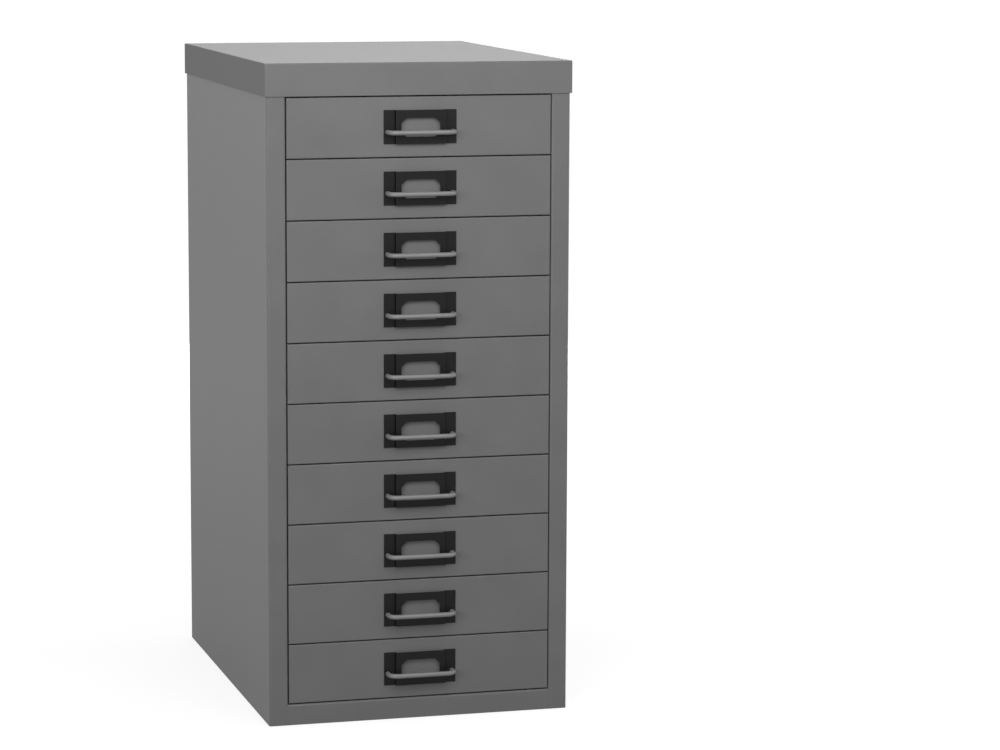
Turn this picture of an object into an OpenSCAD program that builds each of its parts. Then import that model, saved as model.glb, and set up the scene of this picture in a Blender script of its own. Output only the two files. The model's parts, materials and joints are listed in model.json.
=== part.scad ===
// Small cabinet of shallow drawers, folded and welded from sheet steel. All sizes are in millimetres.
// The origin is on the floor under the middle of the body. The drawers open towards -Y.
// Drawer 1 is the top one.

/* [Cabinet] */
// Width over the lid
cabinet_w = 279; // [250:1:420]
// Depth over the lid, without the handles
cabinet_d = 380; // [340:1:500]
// Height over the lid
cabinet_h = 590; // [500:1:940]
// Number of drawers, one above the other
drawer_count = 10; // [5:1:12]

/* [Carcass] */
// Thickness of the carcass sheet
sheet = 0.9; // [0.7:0.1:1.5]
// Inside radius of the body's bends
body_bend = 1.1; // [0.5:0.1:3]
// Inside radius of the lid's bends
lid_bend = 0.3; // [0.1:0.1:2]
// Height of the lid's lip
lid_lip = 29; // [20:1:45]
// Room between the lid's lip and the body
lid_room = 0.5; // [0.2:0.1:2]
// Width of the flanges under the lid
top_flange = 12; // [8:1:14]

/* [Front frame] */
// Width of the stile on each side of the drawers
stile_w = 17.1; // [15:0.1:30]
// Height of the rail under the drawers
rail_h = 18.8; // [14:0.1:60]
// Height of top rail that shows below the lid's lip
rail_reveal = 0.3; // [0:0.1:5]
// Depth of the returns behind the stiles and the rails
frame_return = 15; // [13:0.5:22]
// Lap of the tabs on the back of the rails
tab_lap = 9; // [5:0.5:14]
// Room between the tabs and what is beside them
tab_room = 1; // [0.5:0.5:3]
// Room between the base's front wall and the top of the bottom rail
base_room = 4; // [2.5:0.5:8]
// Room between the back and the bends of the sides
back_room = 0.2; // [0.1:0.1:1]
// Gap above and below each drawer front
front_gap = 0.9; // [0.6:0.1:2]
// Gap at each end of a drawer front
front_end_gap = 0.8; // [0.6:0.1:2]

/* [Drawers] */
// Thickness of the drawer sheet
drawer_sheet = 0.7; // [0.6:0.1:1.2]
// Depth of the folded drawer front
front_depth = 12; // [10:0.5:13]
// Inside radius of the drawer front's bends
front_bend = 0.3; // [0.1:0.1:1.5]
// Width of the lips behind the drawer front
front_lip = 8; // [6:0.5:9]
// Room from the opening's edge to the tray's side
tray_side_room = 10; // [8:0.5:14]
// Height of the tray's floor above the lower edge of its front
tray_lift = 2.5; // [1:0.5:5]
// Depth of the tray's rim below the upper edge of its front
tray_drop = 5; // [4:0.5:7]
// Inside radius of the tray's bends
tray_bend = 1.2; // [0.5:0.1:3]
// Room from the tray's ears to the ends of the front
ear_room = 2; // [1.5:0.5:6]
// Room between the closed tray and the back panel
tray_back_room = 6.8; // [4:0.1:20]
// How far a drawer opens
drawer_travel = 285; // [200:5:295]

/* [Runners] */
// Thickness of the runner sheet
runner_sheet = 0.8; // [0.6:0.1:1.2]
// Inside radius of the runner's bends
runner_bend = 0.4; // [0.2:0.1:1]
// Running gap above, below and beside the tray's hook
running_gap = 0.25; // [0.15:0.05:0.5]
// Depth of the tray's hooked flange
hook_drop = 6.6; // [5:0.1:9]
// Inside radius of the hooked flange's bends
hook_bend = 0.5; // [0.2:0.1:1.2]
// Gap from the tray's side to the runner's legs
leg_room = 1.4; // [1:0.1:2]
// Gap left at the stops
stop_gap = 0.3; // [0.2:0.1:1]
// Gap from the frame's return to the runner's front end
runner_front_room = 1.2; // [0.5:0.1:5]
// Width of the lanced stop tab
stop_tab_w = 4; // [3:0.5:5]
// Height of the lanced stop tab above the runner's leg
stop_tab_h = 4; // [3:0.5:4.5]

/* [Uprights] */
// Width of an upright's crown
crown_w = 24; // [16:1:40]
// Width of an upright's brims
brim_w = 10; // [8:1:14]
// Room at the ends of the side for the uprights
upright_room = 3; // [2:0.5:20]
// Gap between the base's walls and the uprights
upright_lift = 1; // [0.5:0.5:5]

/* [Label holder] */
// Width of the label holder
holder_w = 66; // [56:1:90]
// Height of the label holder
holder_h = 30; // [26:0.1:32]
// Thickness of the label holder
holder_sheet = 0.8; // [0.6:0.1:1.2]
// Width of the flange at each end
flange_w = 10; // [8:0.5:12]
// Inside radius of the label holder's bends
holder_bend = 0.3; // [0.1:0.1:0.6]
// Height of the bridge above the flanges
bridge_rise = 3; // [2:0.1:3.6]
// Height of the walls above and below the slots that the card slides in by
slot_border = 1.2; // [1:0.1:5]
// Width of the bridge beside the window
window_border = 5.25; // [4:0.25:8]
// Height of the window
window_h = 16.8; // [12:0.1:20]
// Depth of the window's middle below the holder's middle
window_drop = 0.3; // [0:0.1:2]
// Size of the window's cut corners
window_corner = 4.6; // [2:0.1:6]

/* [Handle] */
// Diameter of the wire
wire_d = 4.2; // [3:0.1:5]
// From the holder's end to the middle of the leg
leg_inset = 3.3; // [3:0.1:4.5]
// From the drawer front to the middle of the bar
handle_reach = 13; // [11:0.5:20]
// Radius of the handle's bends, to the middle of the wire
handle_bend = 7; // [3.5:0.5:8]
// Depth of the handle below the middle of the front
handle_drop = 4.4; // [3:0.1:6]
// Gap round the leg in its holes
leg_gap = 0.1; // [0.05:0.05:0.3]
// Diameter of the head that holds the leg
head_d = 6.6; // [6:0.1:8]
// Thickness of the head
head_h = 1.2; // [0.8:0.1:2]

/* [Hidden] */
$fn = 40;
body_w = cabinet_w - 2 * (sheet + lid_room);
body_d = cabinet_d - 2 * (sheet + lid_room);
body_h = cabinet_h - sheet;
side_x = body_w / 2 - sheet;
front_y = -body_d / 2;
back_y = body_d / 2 - 2 * sheet;
open_w = body_w - 2 * stile_w;
open_top = cabinet_h - lid_lip - rail_reveal;
open_h = open_top - rail_h;
front_w = open_w - 2 * front_end_gap;
front_h = (open_h - (drawer_count + 1) * front_gap) / drawer_count;
// The rails are welded behind the stiles by a tab at each end.
tab_out = stile_w - sheet - body_bend - tab_room;
base_flange = rail_h - base_room;
tray_w = open_w - 2 * tray_side_room;
tray_y = front_y + front_depth;
tray_d = back_y - tray_back_room - tray_y;
tray_h = front_h - tray_lift - tray_drop;
hook_w = tray_side_room - runner_sheet - running_gap + drawer_sheet;
ear_w = front_w - 2 * ear_room;
runner_y = front_y + frame_return + runner_front_room;
runner_end = tray_y + tray_d + stop_gap;
runner_h = hook_drop + 2 * (running_gap + runner_sheet);
leg_w = tray_side_room - leg_room;
stop_y = tray_y + tray_d - drawer_sheet - drawer_travel - stop_gap - runner_sheet;
hat_w = crown_w + 2 * brim_w;
upright_y = [
    front_y + frame_return + upright_room + hat_w / 2,
    back_y - upright_room - hat_w / 2
];
upright_z = base_flange + upright_lift;
bridge_w = holder_w - 2 * flange_w;
window_w = bridge_w - 2 * window_border;
leg_x = holder_w / 2 - leg_inset;
steel = [0.43, 0.43, 0.43];
inner_steel = [0.40, 0.40, 0.40];
black = [0.15, 0.15, 0.15];
wire_grey = [0.62, 0.62, 0.62];

function part_name(name, n) = str(name, n < 10 ? "_0" : "_", n);
function drawer_z(n) = rail_h + front_gap + (drawer_count - n) * (front_h + front_gap);
function middle_z(n) = drawer_z(n) + front_h / 2;
function rim_z(n) = drawer_z(n) + front_h - tray_drop;

// Profiles of folded sheet

// Rectangle from the origin with four round corners
module rounded(w, h, r) {
    translate([r, 0]) square([w - 2 * r, h]);
    translate([0, r]) square([w, h - 2 * r]);
    for (x = [r, w - r], y = [r, h - r]) translate([x, y]) circle(r);
}

// Closed tube of sheet t, with bends of inside radius bend
module tube_profile(w, h, t, bend) {
    difference() {
        rounded(w, h, bend + t);
        translate([t, t]) rounded(w - 2 * t, h - 2 * t, bend);
    }
}

// Channel with its web on the Y axis and its legs towards +X
module channel_profile(leg, h, t, bend) {
    intersection() {
        tube_profile(2 * leg, h, t, bend);
        square([leg, h]);
    }
}

// Angle with its corner at the origin and its legs along +X and +Y
module angle_profile(a, b, t, bend) {
    intersection() {
        tube_profile(2 * a, 2 * b, t, bend);
        square([a, b]);
    }
}

// Hat section with its brims on the X axis and its crown towards +Y
module hat_profile(crown, brim, rise, t, bend) {
    hat = crown + 2 * brim;
    difference() {
        union() {
            translate([-crown / 2, -rise]) rounded(crown, 2 * rise, bend + t);
            translate([-hat / 2, 0]) square([hat, t]);
        }
        translate([t - crown / 2, t - rise]) rounded(crown - 2 * t, 2 * (rise - t), bend);
        translate([-hat, -2 * rise]) square([2 * hat, 2 * rise]);
    }
}

// U section, centred on X, with its floor on the X axis
module tray_profile(w, h, r) {
    translate([r - w / 2, 0]) square([w - 2 * r, h]);
    translate([-w / 2, r]) square([w, h - r]);
    for (x = [r - w / 2, w / 2 - r]) translate([x, r]) circle(r);
}

// Extrusions along the two level axes

module along_x(length) {
    rotate([90, 0, 90]) linear_extrude(length, center = true) children();
}

module along_y(length) {
    translate([0, length, 0]) rotate([90, 0, 0]) linear_extrude(length) children();
}

// Block with its floor edges rounded, standing on the floor
module soft_block(w, d, h, r) {
    intersection() {
        translate([0, -d / 2, 0]) along_y(d) tray_profile(w, h, r);
        along_x(w) tray_profile(d, h, r);
    }
}

// Open pan: a floor and four walls, folded from one sheet
module pan(w, d, h, t, bend) {
    difference() {
        soft_block(w, d, h, bend + t);
        translate([0, 0, t]) soft_block(w - 2 * t, d - 2 * t, h, bend);
    }
}

// Cabinet body

module top_panel() {
    color(steel) translate([0, 0, cabinet_h]) mirror([0, 0, 1])
        pan(cabinet_w, cabinet_d, lid_lip, sheet, lid_bend);
}

// Side, stile and rear flange, where the rails are let in
module side_plain() {
    channel_profile(stile_w, body_d, sheet, body_bend);
}

// The same with the return behind the stile
module side_with_return() {
    intersection() {
        tube_profile(stile_w, body_d, sheet, body_bend);
        square([stile_w, frame_return]);
    }
    intersection() {
        side_plain();
        translate([0, frame_return]) square([stile_w, body_d - frame_return]);
    }
}

module side_panel() {
    color(steel) translate([-body_w / 2, front_y, 0]) {
        linear_extrude(rail_h) side_plain();
        translate([0, 0, rail_h]) linear_extrude(open_h) side_with_return();
        translate([0, 0, open_top]) linear_extrude(body_h - open_top) side_plain();
        translate([sheet / 2, frame_return, body_h - sheet])
            cube([top_flange + sheet / 2, body_d - frame_return - 2 * sheet - lid_room, sheet]);
    }
}

module left_side_panel() {
    side_panel();
}

module right_side_panel() {
    mirror([1, 0, 0]) side_panel();
}

// The back lies against the rear flanges of the sides.
module back_panel() {
    back_w = 2 * (side_x - body_bend - back_room);
    color(steel) {
        translate([-back_w / 2, back_y, 0]) cube([back_w, sheet, body_h - top_flange]);
        translate([0, back_y + sheet, body_h]) mirror([0, 0, 1]) mirror([0, 1, 0])
            along_x(open_w) angle_profile(top_flange, top_flange + sheet, sheet, body_bend);
    }
}

// The front wall of the base is cut short, clear of the bottom rail's tabs,
// and its corners are notched round the bends of the sides.
module base_panel() {
    base_d = back_y - front_y - sheet;
    wall_end = open_w / 2 - tab_lap - tab_room;
    notch = sheet + body_bend;
    color(steel) difference() {
        translate([0, front_y + sheet + base_d / 2, 0])
            pan(2 * side_x, base_d, base_flange, sheet, body_bend);
        for (side = [0, 1]) mirror([side, 0, 0]) {
            translate([wall_end, front_y, sheet])
                cube([side_x - sheet - wall_end, 3 * sheet + body_bend, base_flange]);
            for (y = [front_y, back_y + 2 * sheet - notch]) translate([side_x - body_bend, y, -sheet])
                cube([notch, notch, base_flange + 2 * sheet]);
        }
    }
}

// Tab that laps behind the stile, from z0 up to z1
module rail_tabs(z0, z1) {
    for (side = [0, 1]) mirror([side, 0, 0])
        translate([open_w / 2 - tab_lap, front_y + sheet, z0]) cube([tab_lap + tab_out, sheet, z1 - z0]);
}

module bottom_rail() {
    tab_z = sheet + body_bend;
    color(steel) {
        translate([0, front_y, rail_h]) mirror([0, 0, 1])
            along_x(open_w) angle_profile(frame_return, rail_h, sheet, body_bend);
        rail_tabs(tab_z, rail_h - tab_z);
    }
}

module top_rail() {
    tab_z = sheet + body_bend;
    color(steel) {
        translate([0, front_y, open_top])
            along_x(open_w) channel_profile(frame_return, body_h - open_top, sheet, body_bend);
        rail_tabs(open_top + tab_z, body_h - tab_z);
    }
}

// Hat section on the inside of the left side
module upright(y) {
    color(inner_steel) translate([-side_x, y, upright_z])
        linear_extrude(body_h - sheet - upright_z - upright_room) rotate(-90)
            hat_profile(crown_w, brim_w, stile_w - sheet, sheet, body_bend);
}

module front_left_upright() {
    upright(upright_y[0]);
}

module front_right_upright() {
    mirror([1, 0, 0]) upright(upright_y[0]);
}

module rear_left_upright() {
    upright(upright_y[1]);
}

module rear_right_upright() {
    mirror([1, 0, 0]) upright(upright_y[1]);
}

// Left runner of drawer n: a channel with a lanced stop tab and a closed rear end
module runner(n) {
    z = rim_z(n) - hook_drop - running_gap - runner_sheet;
    tab_x = runner_sheet + (leg_w - runner_sheet - stop_tab_w) / 2;
    translate([-open_w / 2, 0, z]) {
        difference() {
            translate([0, runner_y, 0]) along_y(runner_end - runner_y)
                channel_profile(leg_w, runner_h, runner_sheet, runner_bend);
            translate([tab_x, stop_y - stop_tab_h, -1]) cube([stop_tab_w, stop_tab_h, runner_h / 2]);
        }
        translate([tab_x, stop_y, 0]) cube([stop_tab_w, runner_sheet, runner_sheet + stop_tab_h]);
        translate([runner_sheet / 2, runner_end, 0]) along_y(runner_sheet)
            square([leg_w - runner_sheet / 2, runner_h]);
    }
}

module left_runners() {
    color(inner_steel) for (n = [1 : drawer_count]) runner(n);
}

module right_runners() {
    color(inner_steel) mirror([1, 0, 0]) for (n = [1 : drawer_count]) runner(n);
}

// Drawers

// Outward flange with its edge turned down, on the tray's right side
module tray_hook() {
    translate([0, -hook_drop]) intersection() {
        translate([0, -hook_drop]) tube_profile(hook_w, 2 * hook_drop, drawer_sheet, hook_bend);
        square([hook_w, hook_drop]);
    }
}

module drawer_tray(n) {
    wall_h = tray_h - hook_bend - drawer_sheet;
    color(steel) {
        translate([0, tray_y + tray_d / 2, drawer_z(n) + tray_lift])
            pan(tray_w, tray_d, wall_h, drawer_sheet, tray_bend);
        translate([-ear_w / 2, tray_y, drawer_z(n) + tray_lift + drawer_sheet + tray_bend])
            cube([ear_w, drawer_sheet, wall_h - drawer_sheet - tray_bend]);
        for (side = [0, 1]) mirror([side, 0, 0]) translate([tray_w / 2 - drawer_sheet, 0, rim_z(n)]) {
            translate([0, tray_y, 0]) along_y(tray_d) tray_hook();
            translate([drawer_sheet / 2, tray_y + tray_d - drawer_sheet, drawer_sheet / 2 - hook_drop])
                cube([hook_w - drawer_sheet, drawer_sheet, hook_drop - drawer_sheet]);
        }
    }
}

// Holes for the handle's legs, through everything within depth of the front
module leg_holes(n, depth) {
    for (side = [-1, 1]) translate([side * leg_x, front_y, middle_z(n) - handle_drop])
        rotate([90, 0, 0]) cylinder(h = 2 * depth, d = wire_d + 2 * leg_gap, center = true);
}

module drawer_front(n) {
    color(steel) difference() {
        translate([0, front_y, middle_z(n)]) rotate([-90, 0, 0]) {
            pan(front_w, front_h, front_depth, drawer_sheet, front_bend);
            translate([0, 0, front_depth - drawer_sheet]) linear_extrude(drawer_sheet) difference() {
                square([front_w, front_h], center = true);
                square([front_w - 2 * front_lip, front_h - 2 * front_lip], center = true);
            }
        }
        leg_holes(n, 2 * drawer_sheet);
    }
}

// Window outline with cut corners
module window_outline() {
    intersection() {
        square([window_w, window_h], center = true);
        rotate(45) square((window_w + window_h - 2 * window_corner) / sqrt(2), center = true);
    }
}

module label_holder(n) {
    slot_h = holder_h - 2 * slot_border;
    slot_x = bridge_w / 2 - holder_sheet - holder_bend;
    rise = bridge_rise + holder_sheet;
    color(black) difference() {
        translate([0, front_y, middle_z(n) - holder_h / 2]) linear_extrude(holder_h) mirror([0, 1])
            hat_profile(bridge_w, flange_w, rise, holder_sheet, holder_bend);
        translate([0, front_y, middle_z(n) - window_drop]) rotate([90, 0, 0])
            linear_extrude(2 * rise) window_outline();
        for (side = [0, 1]) mirror([side, 0, 0])
            translate([slot_x, front_y - bridge_rise, middle_z(n) - slot_h / 2])
                cube([holder_bend + 2 * holder_sheet, bridge_rise - holder_sheet, slot_h]);
        leg_holes(n, 2 * holder_sheet);
    }
}

// Half of the wire pull, from the middle of the bar to the head inside the drawer front
module half_handle() {
    bar_half = leg_x - handle_bend;
    leg_l = handle_reach - handle_bend + drawer_sheet;
    rotate([0, 90, 0]) cylinder(h = bar_half, d = wire_d);
    translate([bar_half, handle_bend, 0]) rotate(-90)
        rotate_extrude(angle = 90) translate([handle_bend, 0]) circle(d = wire_d);
    translate([leg_x, handle_bend, 0]) rotate([-90, 0, 0]) {
        cylinder(h = leg_l + head_h / 2, d = wire_d);
        translate([0, 0, leg_l]) cylinder(h = head_h, d = head_d);
    }
}

module handle(n) {
    color(wire_grey) translate([0, front_y - handle_reach, middle_z(n) - handle_drop]) {
        half_handle();
        mirror([1, 0, 0]) half_handle();
    }
}

top_panel();
left_side_panel();
right_side_panel();
back_panel();
base_panel();
bottom_rail();
top_rail();
front_left_upright();
front_right_upright();
rear_left_upright();
rear_right_upright();
left_runners();
right_runners();
for (n = [1 : drawer_count]) {
    drawer_tray(n);
    drawer_front(n);
    label_holder(n);
    handle(n);
}
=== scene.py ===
import json
import math

import bmesh
import bpy
from mathutils import Matrix, Vector

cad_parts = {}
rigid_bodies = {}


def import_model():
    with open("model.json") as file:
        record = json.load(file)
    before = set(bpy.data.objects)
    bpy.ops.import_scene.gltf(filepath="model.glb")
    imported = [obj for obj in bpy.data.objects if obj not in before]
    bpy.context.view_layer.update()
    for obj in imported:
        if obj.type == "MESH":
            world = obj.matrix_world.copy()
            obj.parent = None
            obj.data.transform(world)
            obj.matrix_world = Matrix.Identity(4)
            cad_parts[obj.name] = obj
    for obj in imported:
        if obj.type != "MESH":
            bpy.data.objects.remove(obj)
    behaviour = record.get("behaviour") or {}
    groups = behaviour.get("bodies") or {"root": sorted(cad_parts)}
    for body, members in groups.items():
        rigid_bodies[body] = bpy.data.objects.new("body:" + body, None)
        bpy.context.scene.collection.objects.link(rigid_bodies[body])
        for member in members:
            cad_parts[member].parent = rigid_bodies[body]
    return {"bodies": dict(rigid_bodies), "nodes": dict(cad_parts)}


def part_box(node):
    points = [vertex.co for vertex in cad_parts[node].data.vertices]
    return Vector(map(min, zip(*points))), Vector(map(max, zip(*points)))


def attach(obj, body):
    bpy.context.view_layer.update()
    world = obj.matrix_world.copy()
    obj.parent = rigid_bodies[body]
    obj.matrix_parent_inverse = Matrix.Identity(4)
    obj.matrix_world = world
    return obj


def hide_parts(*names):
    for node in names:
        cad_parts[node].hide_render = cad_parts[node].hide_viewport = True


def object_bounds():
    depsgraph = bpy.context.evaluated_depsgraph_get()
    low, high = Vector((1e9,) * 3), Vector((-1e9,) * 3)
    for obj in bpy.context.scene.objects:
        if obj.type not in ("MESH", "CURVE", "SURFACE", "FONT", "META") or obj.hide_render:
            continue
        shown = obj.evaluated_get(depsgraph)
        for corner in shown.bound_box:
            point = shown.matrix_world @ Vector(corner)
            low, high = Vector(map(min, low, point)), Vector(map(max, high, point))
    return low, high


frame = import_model()
cadLow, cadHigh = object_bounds()
drawerNames = sorted(name for name in frame["bodies"] if name.startswith("drawer_"))
print("frame loaded,", len(drawerNames), "drawers")


# Node maths: a wire is one socket, and arithmetic on it adds Math nodes

class Wire:
    def __init__(self, tree, socket):
        self.tree = tree
        self.socket = socket

    def maths(self, operation, *others, clamp=False):
        node = self.tree.nodes.new("ShaderNodeMath")
        node.operation = operation
        node.use_clamp = clamp
        for slot, item in zip(node.inputs, (self, *others)):
            plugIn(self.tree, slot, item)
        return Wire(self.tree, node.outputs[0])

    def __add__(self, other):
        return self.maths("ADD", other)

    def __mul__(self, other):
        return self.maths("MULTIPLY", other)

    def __sub__(self, other):
        return self.maths("SUBTRACT", other)

    def __rsub__(self, other):
        return self * -1 + other

    def __lt__(self, other):
        return self.maths("LESS_THAN", other)

    def __gt__(self, other):
        return self.maths("GREATER_THAN", other)

    __radd__ = __add__
    __rmul__ = __mul__


def plugIn(tree, slot, item):
    if isinstance(item, Wire):
        tree.links.new(item.socket, slot)
    else:
        slot.default_value = item


class Graph:  # a node tree, with one method that adds any node
    def __init__(self, tree):
        self.tree = tree

    def node(self, kind, settings=None, values=None, output=0):
        node = self.tree.nodes.new(kind)
        for key, value in (settings or {}).items():
            setattr(node, key, value)
        for key, item in (values or {}).items():
            plugIn(self.tree, node.inputs[key], item)
        return Wire(self.tree, node.outputs[output])

    def vector(self, x, y, z):
        return self.node("ShaderNodeCombineXYZ", values={"X": x, "Y": y, "Z": z})

    def vectorMaths(self, operation, *vectors, output=0):
        return self.node("ShaderNodeVectorMath", {"operation": operation},
                         dict(enumerate(vectors)), output)

    def ray(self, kind):
        return self.node("ShaderNodeLightPath", output="Is " + kind + " Ray")


class Finish(Graph):  # a material and its shader
    def __init__(self, name):
        self.material = bpy.data.materials.new(name)
        self.material.use_nodes = True
        super().__init__(self.material.node_tree)
        self.shader = self.tree.nodes["Principled BSDF"]

    def place(self):
        return self.node("ShaderNodeTexCoord", output="Object")

    def noise(self, where, scale, detail=2.0):
        return self.node("ShaderNodeTexNoise",
                         values={"Vector": where, "Scale": scale, "Detail": detail})

    def blend(self, factor, first, second):  # the Mix node's sockets 6 and 7 are its two colours
        return self.node("ShaderNodeMix", {"data_type": "RGBA"},
                         {0: factor, 6: first, 7: second}, output=2)

    def bump(self, height, distance, under=None):
        values = {"Height": height, "Strength": 1.0, "Distance": distance}
        if under:
            values["Normal"] = under
        return self.node("ShaderNodeBump", values=values)

    def feed(self, values):
        for key, item in values.items():
            plugIn(self.tree, self.shader.inputs[key], item)


class Recipe(Graph):  # a Geometry Nodes tree with named inputs, whose last word says their kind
    kinds = {"Material": "NodeSocketMaterial", "Count": "NodeSocketInt",
             "Place": "NodeSocketVector", "Step": "NodeSocketVector"}

    def __init__(self, name, inputs):
        super().__init__(bpy.data.node_groups.new(name, "GeometryNodeTree"))
        self.tree.interface.new_socket("Geometry", in_out="OUTPUT",
                                       socket_type="NodeSocketGeometry")
        for title in inputs:
            kind = self.kinds.get(title.split()[-1], "NodeSocketFloat")
            self.tree.interface.new_socket(title, in_out="INPUT", socket_type=kind)
        self.entry = self.tree.nodes.new("NodeGroupInput")
        self.outlet = self.tree.nodes.new("NodeGroupOutput")

    def __getitem__(self, title):
        return Wire(self.tree, self.entry.outputs[title])

    def choose(self, number, choices):  # one of several numbers, by a whole number
        node = self.tree.nodes.new("GeometryNodeIndexSwitch")
        node.data_type = "FLOAT"
        while len(node.index_switch_items) < len(choices):
            node.index_switch_items.new()
        plugIn(self.tree, node.inputs["Index"], number)
        for slot, item in zip(list(node.inputs)[1:], choices):
            plugIn(self.tree, slot, item)
        return Wire(self.tree, node.outputs[0])

    def end(self, shape):  # plain geometry with its material, because the export drops instances
        shape = self.node("GeometryNodeRealizeInstances", values={"Geometry": shape})
        shape = self.node("GeometryNodeSetMaterial",
                          values={"Geometry": shape, "Material": self["Material"]})
        plugIn(self.tree, self.outlet.inputs[0], shape)

    def make(self, name, sizes):  # the tree's result as a plain mesh
        piece = addObject(name, bpy.data.meshes.new(name))
        modifier = piece.modifiers.new("recipe", "NODES")
        modifier.node_group = self.tree
        for socket in self.tree.interface.items_tree:
            if socket.in_out == "INPUT":
                modifier[socket.identifier] = sizes[socket.name]
        depsgraph = bpy.context.evaluated_depsgraph_get()
        mesh = bpy.data.meshes.new_from_object(piece.evaluated_get(depsgraph),
                                               preserve_all_data_layers=True, depsgraph=depsgraph)
        for slot in reversed(range(len(mesh.materials))):
            if mesh.materials[slot] is None:
                mesh.materials.pop(index=slot)
        piece.modifiers.clear()
        piece.data = mesh
        return piece


def addObject(name, data):
    piece = bpy.data.objects.new(name, data)
    bpy.context.collection.objects.link(piece)
    return piece


def meshObject(name, shape, material):
    mesh = bpy.data.meshes.new(name)
    shape.to_mesh(mesh)
    shape.free()
    mesh.materials.append(material)
    return addObject(name, mesh)


def grey(level):
    return (level, level, level, 1.0)


# Satin powder coat: orange peel, a fine grain, and a faint unevenness of the sheet

paintLook = {
    "peelPerMetre": 620,
    "grainPerMetre": 5200,
    "sheetPerMetre": 7,
    "cloudPerMetre": 22,
    "cloudDetail": 4.0,
    "peelHeight": 0.00003,
    "sheetHeight": 0.0007,
    "grainInPeel": 0.15,  # how much of the grain is in the peel's height
    "mottle": 0.08,  # how far the colour goes either way from its level
    "cloudInColour": 1.4,
    "grainInColour": 0.35,
    "colourMiddle": 0.32,
    "roughness": 0.46,
    "grainInRoughness": 0.08,
    "cloudInRoughness": 0.06,
    "specular": 0.4,
}


def paintFinish(name, level, specular=paintLook["specular"]):
    look = paintLook
    finish = Finish(name)
    where = finish.place()
    peel = finish.noise(where, look["peelPerMetre"])
    grain = finish.noise(where, look["grainPerMetre"], 1.0)
    sheet = finish.noise(where, look["sheetPerMetre"], 1.0)
    cloud = finish.noise(where, look["cloudPerMetre"], look["cloudDetail"])
    low = grey(level * (1 - look["mottle"]))
    high = grey(level * (1 + look["mottle"]))
    share = ((cloud - 0.5) * look["cloudInColour"] + grain * look["grainInColour"]
             + look["colourMiddle"])
    roughness = ((grain - 0.5) * look["grainInRoughness"] + cloud * look["cloudInRoughness"]
                 + (look["roughness"] - look["cloudInRoughness"] / 2))
    bumps = finish.bump(sheet, look["sheetHeight"])
    bumps = finish.bump(peel + grain * look["grainInPeel"], look["peelHeight"], bumps)
    finish.feed({"Base Color": finish.blend(share, low, high), "Roughness": roughness,
                 "Normal": bumps, "Specular IOR Level": specular})
    return finish.material


# Black pressed card holder

plateLook = {
    "grainPerMetre": 2600,
    "cloudPerMetre": 60,
    "cloudDetail": 3.0,
    "grainHeight": 0.000012,
    "mottle": 0.2,
    "roughness": 0.40,
    "grainInRoughness": 0.10,
    "cloudInRoughness": 0.06,
}


def plateFinish(name, level, specular):
    look = plateLook
    finish = Finish(name)
    where = finish.place()
    grain = finish.noise(where, look["grainPerMetre"])
    cloud = finish.noise(where, look["cloudPerMetre"], look["cloudDetail"])
    low = grey(level * (1 - look["mottle"]))
    high = grey(level * (1 + look["mottle"]))
    spread = look["grainInRoughness"] + look["cloudInRoughness"]
    roughness = (grain * look["grainInRoughness"] + cloud * look["cloudInRoughness"]
                 + (look["roughness"] - spread / 2))
    finish.feed({"Base Color": finish.blend(cloud, low, high), "Roughness": roughness,
                 "Normal": finish.bump(grain, look["grainHeight"]),
                 "Specular IOR Level": specular})
    return finish.material


# Dull drawn wire: fine marks that run along it, from the sweep's own "grain" coordinates

wireLook = {
    "marksPerMetre": (35.0, 5200.0, 5200.0),  # along the wire, then across it
    "markDetail": 3.0,
    "markHeight": 0.000006,
    "cloudPerMetre": 70,
    "cloudDetail": 3.0,
    "low": 0.20,
    "high": 0.25,
    "metal": 0.35,
    "cloudInMetal": 0.1,
    "roughness": 0.60,
    "marksInRoughness": 0.12,
}


def wireFinish(name):
    look = wireLook
    finish = Finish(name)
    grain = finish.node("ShaderNodeAttribute", {"attribute_name": "grain"}, output="Vector")
    along = finish.node("ShaderNodeMapping",
                        values={"Vector": grain, "Scale": look["marksPerMetre"]})
    marks = finish.noise(along, 1.0, look["markDetail"])
    cloud = finish.noise(finish.place(), look["cloudPerMetre"], look["cloudDetail"])
    colour = finish.blend(marks * 0.5 + cloud * 0.5, grey(look["low"]), grey(look["high"]))
    metal = cloud * look["cloudInMetal"] + (look["metal"] - look["cloudInMetal"] / 2)
    roughness = (marks * look["marksInRoughness"]
                 + (look["roughness"] - look["marksInRoughness"] / 2))
    finish.feed({"Base Color": colour, "Metallic": metal, "Roughness": roughness,
                 "Normal": finish.bump(marks, look["markHeight"])})
    return finish.material


greyPaint = paintFinish("greyPaint", level=0.150)
# the lid's side lips: a darker, less glossy copy of the grey paint, as painted shade
lipPaint = paintFinish("lipPaint", level=0.116, specular=0.12)
trayPaint = paintFinish("trayPaint", level=0.140)
innerPaint = paintFinish("innerPaint", level=0.125)
blackPlate = plateFinish("blackPlate", level=0.008, specular=0.21)
# the card holders' end walls: a darker, duller copy of the black plate, as painted shade along the
# card slot
wallPlate = plateFinish("wallPlate", level=0.003, specular=0.04)
dullWire = wireFinish("dullWire")
print("finishes made")


# Sheet metal: the CAD solid with its cut edges broken, as a deburred and painted sheet has them

sheetEdge = {
    "mergeWithin": 0.000002,
    "flatDegrees": 0.6,  # faces that meet flatter than this become one
    "sharpDegrees": 32,  # edges sharper than this are broken
    "radius": 0.00022,
    "segments": 2,
    "roundness": 0.5,
    "creaseDegrees": 40,  # shading stays split at edges sharper than this
    "sideways": 0.6,  # how far a face points left or right to take the painted shade
}


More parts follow.
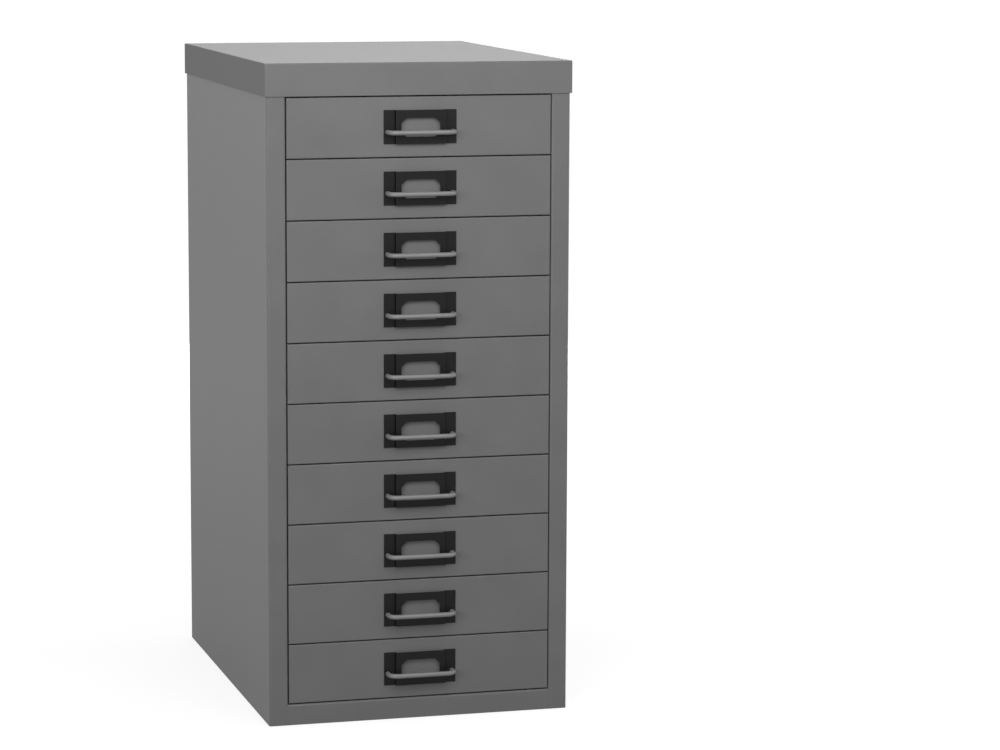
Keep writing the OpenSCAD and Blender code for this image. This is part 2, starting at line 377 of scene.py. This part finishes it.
def edgeBroken(node, material):
    shape = bmesh.new()
    shape.from_mesh(frame["nodes"][node].data)
    bmesh.ops.remove_doubles(shape, verts=shape.verts, dist=sheetEdge["mergeWithin"])
    bmesh.ops.dissolve_limit(shape, angle_limit=math.radians(sheetEdge["flatDegrees"]),
                             verts=shape.verts, edges=shape.edges)
    sharpAngle = math.radians(sheetEdge["sharpDegrees"])
    sharp = [edge for edge in shape.edges
             if len(edge.link_faces) == 2 and edge.calc_face_angle(0) > sharpAngle]
    bmesh.ops.bevel(shape, geom=sharp, offset=sheetEdge["radius"],
                    segments=sheetEdge["segments"], profile=sheetEdge["roundness"],
                    affect="EDGES", clamp_overlap=True, harden_normals=False)
    for face in shape.faces:
        face.smooth = True
    piece = meshObject(node + "_skin", shape, material)
    piece.data.set_sharp_from_angle(angle=math.radians(sheetEdge["creaseDegrees"]))
    weighted = piece.modifiers.new("even shading", "WEIGHTED_NORMAL")
    weighted.keep_sharp = True
    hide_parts(node)
    return piece


# paints shade on the faces that point left or right, with a darker second material
def paintShadeOnSides(piece, material):
    piece.data.materials.append(material)
    for face in piece.data.polygons:
        if abs(face.normal.x) > sheetEdge["sideways"]:
            face.material_index = 1


bodySheets = {
    "top_panel": greyPaint,
    "left_side_panel": greyPaint,
    "right_side_panel": greyPaint,
    "back_panel": greyPaint,
    "base_panel": greyPaint,
    "bottom_rail": greyPaint,
    "top_rail": greyPaint,
    "front_left_upright": innerPaint,
    "front_right_upright": innerPaint,
    "rear_left_upright": innerPaint,
    "rear_right_upright": innerPaint,
    "left_runners": innerPaint,
    "right_runners": innerPaint,
}

drawerSheets = {"drawer_tray": trayPaint, "drawer_front": greyPaint, "label_holder": blackPlate}

# painted shade: the lid's side lips and the card holders' end walls are darker than the rest of the
# piece
sideShadeFinishes = {"top_panel": lipPaint, "label_holder": wallPlate}


def sheetPiece(kind, node, material, body):
    piece = edgeBroken(node, material)
    if kind in sideShadeFinishes:
        paintShadeOnSides(piece, sideShadeFinishes[kind])
    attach(piece, body)


for kind, material in bodySheets.items():
    sheetPiece(kind, kind, material, "cabinet")
print("cabinet body made")

for drawer in drawerNames:
    for kind, material in drawerSheets.items():
        sheetPiece(kind, kind + "_" + drawer[-2:], material, drawer)
print("drawers made")


# Wire pulls: a round wire swept along its bent path, with a peened head on each end

wirePull = {
    "diameter": 0.0042,
    "sides": 24,
    "bendRadius": 0.007,
    "bendPoints": 12,
    "headDiameter": 0.0066,
    "headHeight": 0.0012,
    "headSteps": (0.01, 0.3, 0.7, 1.0),  # shares of the head's height, away from the bar
    "headWidths": (0.96, 1.0, 0.93, 0.55),  # shares of its width at those steps
    "creaseDegrees": 50,
}


def pullRecipe():
    look = wirePull
    recipe = Recipe("wirePull", ["Half Span", "Front", "Back", "Level", "Bend Radius",
                                 "Wire Diameter", "Head Diameter", "Head Height", "Material"])
    wire = recipe["Wire Diameter"] * 0.5
    head = recipe["Head Diameter"] * 0.5
    base = recipe["Back"] - recipe["Head Height"]
    depths = [recipe["Front"], base]
    depths += [base + recipe["Head Height"] * share for share in look["headSteps"]]
    widths = [wire, wire] + [head * share for share in look["headWidths"]]
    points = 2 * len(depths)
    fromMiddle = recipe.node("GeometryNodeInputIndex") - (points - 1) / 2
    side = fromMiddle.maths("SIGN")
    step = fromMiddle.maths("ABSOLUTE") - 0.5  # 0 at the bar's end, 5 at the end of the head
    place = recipe.vector(side * recipe["Half Span"], recipe.choose(step, depths), recipe["Level"])
    path = recipe.node("GeometryNodeMeshLine", values={"Count": points})
    path = recipe.node("GeometryNodeMeshToCurve", values={"Mesh": path})
    path = recipe.node("GeometryNodeSetPosition", values={"Geometry": path, "Position": place})
    path = recipe.node("GeometryNodeSetCurveRadius",
                       values={"Curve": path, "Radius": recipe.choose(step, widths)})
    path = recipe.node("GeometryNodeFilletCurve", {"mode": "POLY"},
                       {"Curve": path, "Count": look["bendPoints"],
                        "Radius": recipe["Bend Radius"] * (step < 0.5)})
    # what the draw marks follow: the length along the wire, and the place on its section
    kept = recipe.tree.nodes.new("GeometryNodeCaptureAttribute")
    plugIn(recipe.tree, kept.inputs["Geometry"], path)
    fields = (("VECTOR", "middle", recipe.node("GeometryNodeInputPosition")),
              ("VECTOR", "heading", recipe.node("GeometryNodeInputTangent")),
              ("FLOAT", "run", recipe.node("GeometryNodeSplineParameter", output="Length")))
    for kind, title, field in fields:
        kept.capture_items.new(kind, title)
        plugIn(recipe.tree, kept.inputs[title], field)
    path, middle, heading, run = (Wire(recipe.tree, kept.outputs[title])
                                  for title in ("Geometry", "middle", "heading", "run"))
    section = recipe.node("GeometryNodeCurvePrimitiveCircle",
                          values={"Resolution": look["sides"], "Radius": 1.0})
    swept = recipe.node("GeometryNodeCurveToMesh",
                        values={"Curve": path, "Profile Curve": section, "Fill Caps": True,
                                "Scale": recipe.node("GeometryNodeInputRadius")})
    offset = recipe.vectorMaths("SUBTRACT", recipe.node("GeometryNodeInputPosition"), middle)
    outward = recipe.vectorMaths("CROSS_PRODUCT", heading, (0.0, 0.0, 1.0))
    across = recipe.vectorMaths("DOT_PRODUCT", offset, outward, output="Value")
    height = recipe.node("ShaderNodeSeparateXYZ", values={"Vector": offset}, output="Z")
    swept = recipe.node("GeometryNodeStoreNamedAttribute",
                        {"data_type": "FLOAT_VECTOR", "domain": "POINT"},
                        {"Geometry": swept, "Name": "grain",
                         "Value": recipe.vector(run, across, height)})
    recipe.end(recipe.node("GeometryNodeSetShadeSmooth", values={"Geometry": swept}))
    return recipe


def wirePullPiece(recipe, drawer):
    look = wirePull
    node = "handle_" + drawer[-2:]
    low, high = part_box(node)
    piece = recipe.make(node + "_wire", {
        "Half Span": (high[0] - low[0] - look["headDiameter"]) / 2,
        "Front": low[1] + look["diameter"] / 2,
        "Back": high[1],
        "Level": (low[2] + high[2]) / 2,
        "Bend Radius": look["bendRadius"],
        "Wire Diameter": look["diameter"],
        "Head Diameter": look["headDiameter"],
        "Head Height": look["headHeight"],
        "Material": dullWire,
    })
    piece.data.set_sharp_from_angle(angle=math.radians(look["creaseDegrees"]))
    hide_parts(node)
    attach(piece, drawer)


pulls = pullRecipe()
for drawer in drawerNames:
    wirePullPiece(pulls, drawer)
print("wire pulls made")


# Spot welds: rows of the faint rings that the electrodes leave under the paint

spotWeld = {
    "ring": 0.0023,
    "ringSides": 22,
    "ridge": 0.0005,
    "ridgeSides": 8,
    "height": 0.00007,
    "facing": (0.0, 1.0, 0.0),
    "backPitch": 0.062,
    "backInset": 0.006,
    "backEnds": 0.05,  # what both ends of the row leave free, together
    "trayCount": 4,
    "trayPitch": 0.052,
    "trayRise": 0.0044,
    "traySheet": 0.0007,
}


def weldRecipe():
    look = spotWeld
    recipe = Recipe("weldRow", ["Start Place", "Pitch Step", "Weld Count", "Outward Place",
                                "Ring", "Ridge", "Height", "Material"])
    ring = recipe.node("GeometryNodeCurvePrimitiveCircle",
                       values={"Resolution": look["ringSides"], "Radius": recipe["Ring"]})
    ridge = recipe.node("GeometryNodeCurvePrimitiveCircle",
                        values={"Resolution": look["ridgeSides"], "Radius": recipe["Ridge"]})
    mark = recipe.node("GeometryNodeCurveToMesh", values={"Curve": ring, "Profile Curve": ridge})
    squeeze = recipe.vector(1.0, 1.0, recipe["Height"].maths("DIVIDE", recipe["Ridge"]))
    mark = recipe.node("GeometryNodeTransform", values={"Geometry": mark, "Scale": squeeze})
    mark = recipe.node("GeometryNodeSetShadeSmooth", values={"Geometry": mark})
    row = recipe.node("GeometryNodeMeshLine", {"mode": "OFFSET"},
                      {"Count": recipe["Weld Count"], "Start Location": recipe["Start Place"],
                       "Offset": recipe["Pitch Step"]})
    turn = recipe.node("FunctionNodeAlignRotationToVector", {"axis": "Z"},
                       {"Vector": recipe["Outward Place"]})
    recipe.end(recipe.node("GeometryNodeInstanceOnPoints",
                           values={"Points": row, "Instance": mark, "Rotation": turn}))
    return recipe


def weldRow(recipe, name, body, start, step, count, material):
    look = spotWeld
    piece = recipe.make(name, {
        "Start Place": start,
        "Pitch Step": step,
        "Weld Count": count,
        "Outward Place": look["facing"],
        "Ring": look["ring"],
        "Ridge": look["ridge"],
        "Height": look["height"],
        "Material": material,
    })
    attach(piece, body)


def backWelds(recipe):  # where the back is welded to the rear flanges of the sides
    low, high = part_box("back_panel")
    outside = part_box("left_side_panel")[1][1]
    pitch = spotWeld["backPitch"]
    count = int((high[2] - low[2] - spotWeld["backEnds"]) / pitch) + 1
    first = (low[2] + high[2] - (count - 1) * pitch) / 2
    for side, edge, inward in (("left", low[0], 1), ("right", high[0], -1)):
        start = (edge + spotWeld["backInset"] * inward, outside, first)
        weldRow(recipe, side + "_back_welds", "cabinet", start, (0.0, 0.0, pitch), count, greyPaint)


def trayWelds(recipe, drawer):  # where the tray's front wall is welded to the drawer front's lip
    low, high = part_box("drawer_tray_" + drawer[-2:])
    count, pitch = spotWeld["trayCount"], spotWeld["trayPitch"]
    first = (low[0] + high[0] - (count - 1) * pitch) / 2
    start = (first, low[1] + spotWeld["traySheet"], low[2] + spotWeld["trayRise"])
    weldRow(recipe, drawer + "_welds", drawer, start, (pitch, 0.0, 0.0), count, trayPaint)


welds = weldRecipe()
backWelds(welds)
for drawer in drawerNames:
    trayWelds(welds, drawer)
print("spot welds made")


# Camera at the photograph's place, with its turns in degrees

cameraView = {
    "place": (-0.7427, -3.0814, 0.7463),
    "yaw": 15.767,
    "pitch": -8.268,
    "roll": 0.239,
    "lens": 122.05,
    "sensorWidth": 36,
    "clipEnd": 100,
}


def makeCamera():
    look = cameraView
    camera = addObject("camera", bpy.data.cameras.new("camera"))
    camera.data.sensor_width = look["sensorWidth"]
    camera.data.lens = look["lens"]
    camera.data.clip_end = look["clipEnd"]
    turn = Matrix.Rotation(-math.radians(look["yaw"]), 4, "Z")
    tilt = Matrix.Rotation(math.radians(90 + look["pitch"]), 4, "X")
    roll = Matrix.Rotation(math.radians(look["roll"]), 4, "Z")
    camera.matrix_world = Matrix.Translation(look["place"]) @ turn @ tilt @ roll
    bpy.context.scene.camera = camera


makeCamera()
print("camera placed")


# Studio: soft lamps, a pale floor and a white surround

lamps = {
    "frontLeft": {"place": (-2.3, -2.3, 1.0), "aim": (0, 0, 0.4), "size": (1.6, 1.0),
                  "watts": 28.0},
    "overDrawers": {"place": (-0.1, -0.9, 0.9), "aim": (0, -0.19, 0.45), "size": (0.9, 0.4),
                    "watts": 4.7},
    "leftRear": {"place": (-1.8, 1.6, 1.0), "aim": (0, 0, 0.35), "size": (1.2, 1.2),
                 "watts": 8.2},
    "right": {"place": (2.0, -0.2, 0.9), "aim": (0, 0, 0.35), "size": (1.4, 1.2),
              "watts": 15.0},
    "behind": {"place": (1.0, 2.6, 1.5), "aim": (0, 0, 0.35), "size": (1.6, 1.2),
               "watts": 8.5},
    "behindLow": {"place": (0.5, 2.3, 0.3), "aim": (0, 0, 0.3), "size": (0.8, 0.5),
                  "watts": 12.0},
}


def makeLamp(name, look):
    data = bpy.data.lights.new(name, "AREA")
    data.shape = "RECTANGLE"
    data.size, data.size_y = look["size"]
    data.energy = look["watts"]
    lamp = addObject(name, data)
    lamp.location = look["place"]
    toward = Vector(look["aim"]) - Vector(look["place"])
    lamp.rotation_euler = toward.to_track_quat("-Z", "Y").to_euler()
    lamp.visible_camera = False


for name, look in lamps.items():
    makeLamp(name, look)


studio = {
    "surround": 0.4,  # light that the surround throws on the object
    "surroundReflected": 0.8,  # how bright gloss sees the surround
    "floorColour": 0.32,
    "floorRoughness": 0.9,
    "floorGlow": 0.78,  # how white the camera sees the floor by the object, with its shadow
    "farGlow": 0.89,  # the same far away, where the lamps give less
    "floorReflected": 0.36,  # how bright gloss sees the floor by the object, kept lower than far away as painted shade of the object's shadow
    "farReflected": 0.57,  # the same far away
    "nearReach": 0.5,  # by the object ends here
    "farReach": 2.2,  # far away starts here
    "floorReach": 30,
    "floorGap": 0.0003,  # keeps the floor off the base
}


def makeSurround():
    world = bpy.data.worlds.new("surround")
    bpy.context.scene.world = world
    world.use_nodes = True
    graph = Graph(world.node_tree)
    glossShare = studio["surroundReflected"] - studio["surround"]
    level = studio["surround"] + graph.ray("Glossy") * glossShare
    background = graph.tree.nodes["Background"]
    background.inputs["Color"].default_value = grey(1.0)
    plugIn(graph.tree, background.inputs["Strength"], level.maths("MAXIMUM", graph.ray("Camera")))


def makeFloor():
    finish = Finish("floorPaper")
    away = finish.vectorMaths("LENGTH", finish.place(), output="Value") - studio["nearReach"]
    far = away.maths("DIVIDE", studio["farReach"] - studio["nearReach"], clamp=True)
    glow = far * (studio["farGlow"] - studio["floorGlow"]) + studio["floorGlow"]
    # gloss sees the floor darker by the object than far away: painted shade
    reflected = far * (studio["farReflected"] - studio["floorReflected"]) + studio["floorReflected"]
    shine = finish.ray("Camera") * glow + finish.ray("Glossy") * reflected
    finish.feed({"Base Color": grey(studio["floorColour"]), "Roughness": studio["floorRoughness"],
                 "Emission Color": grey(1.0), "Emission Strength": shine,
                 "Specular IOR Level": 0.0})
    shape = bmesh.new()
    bmesh.ops.create_grid(shape, x_segments=1, y_segments=1, size=studio["floorReach"] / 2)
    bmesh.ops.translate(shape, verts=shape.verts, vec=(0, 0, cadLow.z - studio["floorGap"]))
    meshObject("floor", shape, finish.material)


makeSurround()
makeFloor()
bpy.context.scene.view_settings.view_transform = "Standard"
print("studio made")
